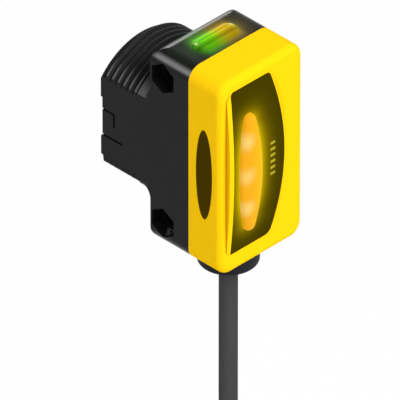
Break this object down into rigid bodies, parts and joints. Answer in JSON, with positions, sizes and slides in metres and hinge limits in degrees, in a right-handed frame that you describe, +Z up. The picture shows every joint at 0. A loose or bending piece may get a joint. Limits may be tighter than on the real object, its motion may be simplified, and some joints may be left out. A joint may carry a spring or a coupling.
{
  "type": "fixed-field photoelectric sensor",
  "caption": "Compact photoelectric sensor with a flatted threaded lens barrel, side mounting holes, a yellow rear cover with a smoked indicator window, a top status dome and a cable.",
  "frame": {"origin": "On the axis of the threaded barrel, in the flat shoulder of the housing that the barrel grows out of.", "axes": "+X points from the lens end to the yellow indicator cover, Y runs across the width, +Z points up along the height, away from the cable."},
  "size_m": [0.0743, 0.022, 0.1665],
  "materials": {
    "black_plastic": "fine moulded black plastic, satin",
    "yellow_plastic": "moulded yellow plastic, soft gloss",
    "smoked_window": "smoked olive plastic, polished",
    "amber_lens": "amber diffusing plastic, lit from behind",
    "clear_lens": "clear moulded plastic",
    "front_lens": "dark red filter plastic, polished",
    "seal_rubber": "moulded rubber",
    "gland_rubber": "moulded black rubber, matt",
    "board": "green circuit board",
    "led_package": "pale resin",
    "dark_chip": "black moulding resin",
    "tinned_steel": "tinned sheet",
    "plated_brass": "plated",
    "capacitor_can": "bare can",
    "cable_jacket": "black PVC jacket",
    "tie_plastic": "black nylon",
    "brown_insulation": "brown core insulation",
    "white_insulation": "white core insulation",
    "blue_insulation": "blue core insulation",
    "black_insulation": "black core insulation",
    "grey_insulation": "grey core insulation"
  },
  "bodies": {
    "root": {"housing": "black_plastic", "rear_cover": "yellow_plastic", "indicator_window": "smoked_window", "light_bar": "amber_lens", "status_dome": "clear_lens", "cover_seal": "seal_rubber", "lens_plate": "front_lens", "lens_gasket": "seal_rubber", "optics_holder": "black_plastic", "emitter_lens": "clear_lens", "receiver_lens": "clear_lens", "optics_board": "board", "emitter_led": "led_package", "receiver_diodes": "dark_chip", "receiver_shield": "tinned_steel", "link_header": "dark_chip", "link_pins": "plated_brass", "main_board": "board", "controller_chip": "dark_chip", "regulator_chip": "dark_chip", "capacitors": "capacitor_can", "output_transistors": "dark_chip", "led_header": "dark_chip", "led_header_pins": "plated_brass", "led_board": "board", "output_leds": "led_package", "power_led": "led_package", "signal_led": "led_package", "cable_gland": "gland_rubber", "crimp_ring": "plated_brass", "cable_tail": "cable_jacket", "brown_core": "brown_insulation", "white_core": "white_insulation", "blue_core": "blue_insulation", "black_core": "black_insulation", "grey_core": "grey_insulation", "cable_lead": "cable_jacket", "cable_coil": "cable_jacket", "coil_ties": "tie_plastic", "cable_end": "cable_jacket", "brown_end_core": "brown_insulation", "white_end_core": "white_insulation", "blue_end_core": "blue_insulation", "black_end_core": "black_insulation", "grey_end_core": "grey_insulation"}
  },
  "joints": []
}
